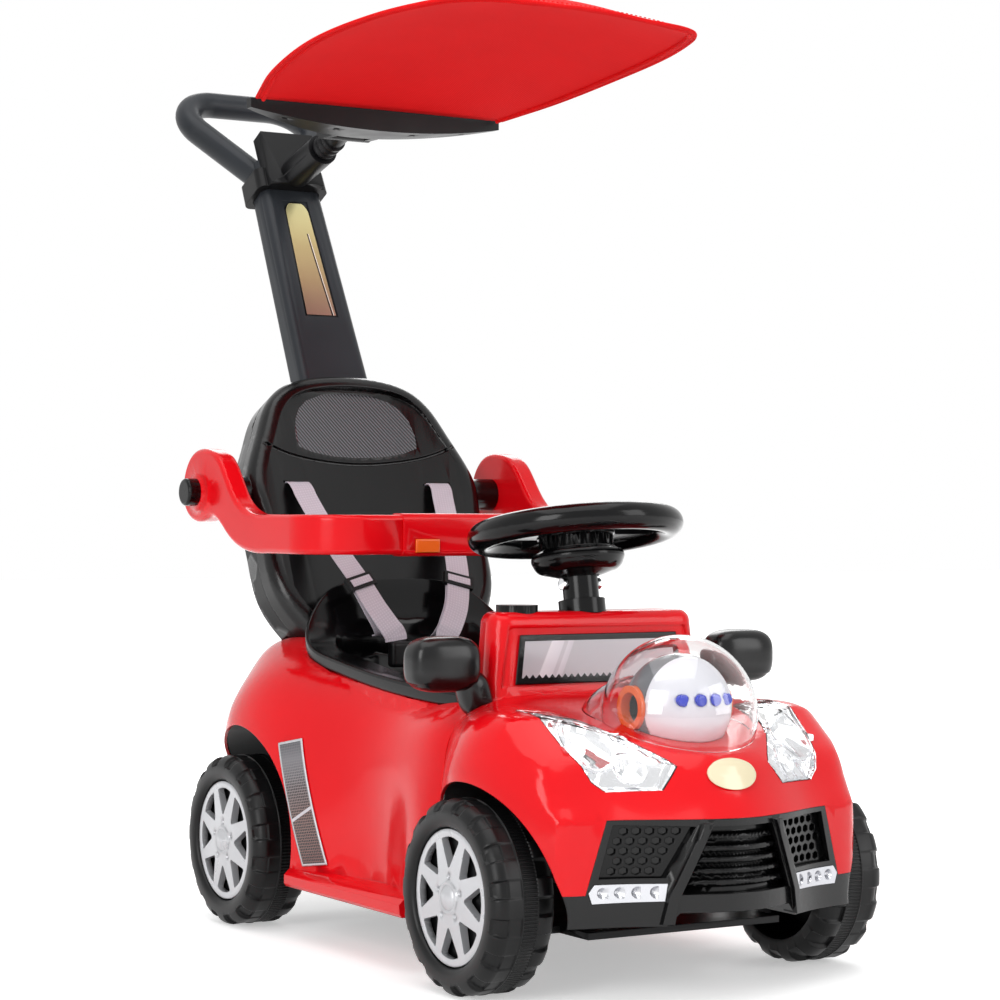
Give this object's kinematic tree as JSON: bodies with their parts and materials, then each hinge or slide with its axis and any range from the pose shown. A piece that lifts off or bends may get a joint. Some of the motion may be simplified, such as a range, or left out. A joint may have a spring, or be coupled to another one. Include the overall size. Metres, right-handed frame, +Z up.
{
  "type": "push car with handle",
  "caption": "Child's ride-on push car with steered front wheels, guard rail, harness seat, clear lamp dome, rear push handle and a tilting fabric canopy.",
  "frame": {"origin": "middle of the footprint on the floor", "axes": "+Z up, -Y towards the nose, +X to the car's left"},
  "size_m": [0.41, 0.995, 0.8919],
  "materials": {
    "red_plastic": "gloss red moulding",
    "black_plastic": "gloss black moulding",
    "satin_black": "satin black moulding",
    "handle_plastic": "satin slate black",
    "wheel_plastic": "moulded black wheel",
    "silver_plastic": "silver paint on plastic",
    "steel": "plated steel",
    "chrome_trim": "bright plated",
    "clear_plastic": "clear moulding",
    "white_plastic": "white diffuser",
    "grey_plastic": "grey moulding",
    "blue_lens": "blue lens",
    "orange_plastic": "orange moulding",
    "cream_badge": "cream oval",
    "gold_label": "gold foil label",
    "webbing": "woven webbing",
    "canopy_cloth": "red woven cloth"
  },
  "bodies": {
    "chassis": {"rear_body": "red_plastic", "front_body": "red_plastic", "chassis_floor": "satin_black", "wheel_liners": "satin_black", "seat": "black_plastic", "backrest": "black_plastic", "backrest_rear": "black_plastic", "backrest_plate": "black_plastic", "handle": "handle_plastic", "handle_label": "gold_label", "canopy_clamp": "satin_black", "canopy_stem": "satin_black", "front_axle_beam": "satin_black", "rear_axle": "steel", "column_collar": "black_plastic", "front_bumper": "black_plastic", "bumper_grilles": "black_plastic", "bumper_lamps": "chrome_trim", "headlamp_lenses": "clear_plastic", "headlamp_reflectors": "chrome_trim", "dome_cover": "clear_plastic", "lamp_pod": "grey_plastic", "lamp_diffuser": "white_plastic", "lamp_leds": "blue_lens", "lamp_rings": "orange_plastic", "nose_badge": "cream_badge", "windscreen_panel": "grey_plastic", "side_vents": "chrome_trim", "wing_mirrors": "black_plastic", "harness_straps": "webbing", "harness_buckles": "satin_black"},
    "steering_gear": {"steering_column": "steel", "column_sleeve": "black_plastic", "column_bolt": "chrome_trim", "wheel_bell": "black_plastic", "steering_wheel": "black_plastic", "hub_pad": "black_plastic"},
    "horn": {"horn_button": "orange_plastic"},
    "right_tune": {"right_tune_button": "orange_plastic"},
    "left_tune": {"left_tune_button": "orange_plastic"},
    "light_switch": {"light_button": "black_plastic"},
    "right_knuckle_body": {"right_knuckle": "steel"},
    "left_knuckle_body": {"left_knuckle": "steel"},
    "tie_rod_body": {"tie_rod": "satin_black"},
    "guard": {"guard_arms": "red_plastic", "guard_bar": "red_plastic", "guard_knobs": "black_plastic"},
    "right_latch": {"guard_latch_right": "orange_plastic"},
    "left_latch": {"guard_latch_left": "orange_plastic"},
    "canopy": {"canopy_holder": "satin_black", "canopy_fabric": "canopy_cloth", "canopy_wire": "steel"},
    "front_right_roller": {"front_right_wheel": "wheel_plastic", "front_right_rim": "silver_plastic"},
    "front_left_roller": {"front_left_wheel": "wheel_plastic", "front_left_rim": "silver_plastic"},
    "rear_right_roller": {"rear_right_wheel": "wheel_plastic", "rear_right_rim": "silver_plastic"},
    "rear_left_roller": {"rear_left_wheel": "wheel_plastic", "rear_left_rim": "silver_plastic"}
  },
  "joints": [
    {"name": "steering", "type": "hinge", "parent": "chassis", "child": "steering_gear", "pos_m": [0, -0.2335, 0.39], "axis": [0, 0.1736, 0.9848], "range_deg": [-12, 12]},
    {"name": "right_steer", "type": "hinge", "parent": "chassis", "child": "right_knuckle_body", "pos_m": [-0.112, -0.349, 0.083], "axis": [0, 0, 1], "range_deg": [-12, 12]},
    {"name": "left_steer", "type": "hinge", "parent": "chassis", "child": "left_knuckle_body", "pos_m": [0.112, -0.349, 0.083], "axis": [0, 0, 1], "range_deg": [-12, 12]},
    {"name": "tie_rod_swing", "type": "hinge", "parent": "right_knuckle_body", "child": "tie_rod_body", "pos_m": [-0.112, -0.391, 0.1059], "axis": [0, 0, 1], "range_deg": [-12, 12]},
    {"name": "front_right_spin", "type": "hinge", "parent": "right_knuckle_body", "child": "front_right_roller", "pos_m": [-0.172, -0.349, 0.083], "axis": [1, 0, 0], "continuous": true},
    {"name": "front_left_spin", "type": "hinge", "parent": "left_knuckle_body", "child": "front_left_roller", "pos_m": [0.172, -0.349, 0.083], "axis": [1, 0, 0], "continuous": true},
    {"name": "rear_right_spin", "type": "hinge", "parent": "chassis", "child": "rear_right_roller", "pos_m": [-0.172, 0.094, 0.083], "axis": [1, 0, 0], "continuous": true},
    {"name": "rear_left_spin", "type": "hinge", "parent": "chassis", "child": "rear_left_roller", "pos_m": [0.172, 0.094, 0.083], "axis": [1, 0, 0], "continuous": true},
    {"name": "guard_swing", "type": "hinge", "parent": "chassis", "child": "guard", "pos_m": [0, 0.1865, 0.426], "axis": [-1, 0, 0], "range_deg": [0, 75]},
    {"name": "right_latch_press", "type": "slide", "parent": "guard", "child": "right_latch", "axis": [0, 1, 0], "range_m": [0, 0.003], "stiffness_N_per_m": 500},
    {"name": "left_latch_press", "type": "slide", "parent": "guard", "child": "left_latch", "axis": [0, 1, 0], "range_m": [0, 0.003], "stiffness_N_per_m": 500},
    {"name": "horn_press", "type": "slide", "parent": "steering_gear", "child": "horn", "axis": [0, -0.1736, -0.9848], "range_m": [0, 0.003], "stiffness_N_per_m": 500},
    {"name": "right_tune_press", "type": "slide", "parent": "steering_gear", "child": "right_tune", "axis": [0, -0.1736, -0.9848], "range_m": [0, 0.0025], "stiffness_N_per_m": 400},
    {"name": "left_tune_press", "type": "slide", "parent": "steering_gear", "child": "left_tune", "axis": [0, -0.1736, -0.9848], "range_m": [0, 0.0025], "stiffness_N_per_m": 400},
    {"name": "light_press", "type": "slide", "parent": "chassis", "child": "light_switch", "axis": [0, 0, -1], "range_m": [0, 0.003], "stiffness_N_per_m": 500},
    {"name": "canopy_tilt", "type": "hinge", "parent": "chassis", "child": "canopy", "pos_m": [0, 0.2225, 0.815], "axis": [-1, 0, 0], "range_deg": [-15, 25]}
  ],
  "couplings": [
    {"joint": "right_steer", "follows": "steering", "ratio": 1},
    {"joint": "left_steer", "follows": "steering", "ratio": 1},
    {"joint": "tie_rod_swing", "follows": "steering", "ratio": -1}
  ]
}
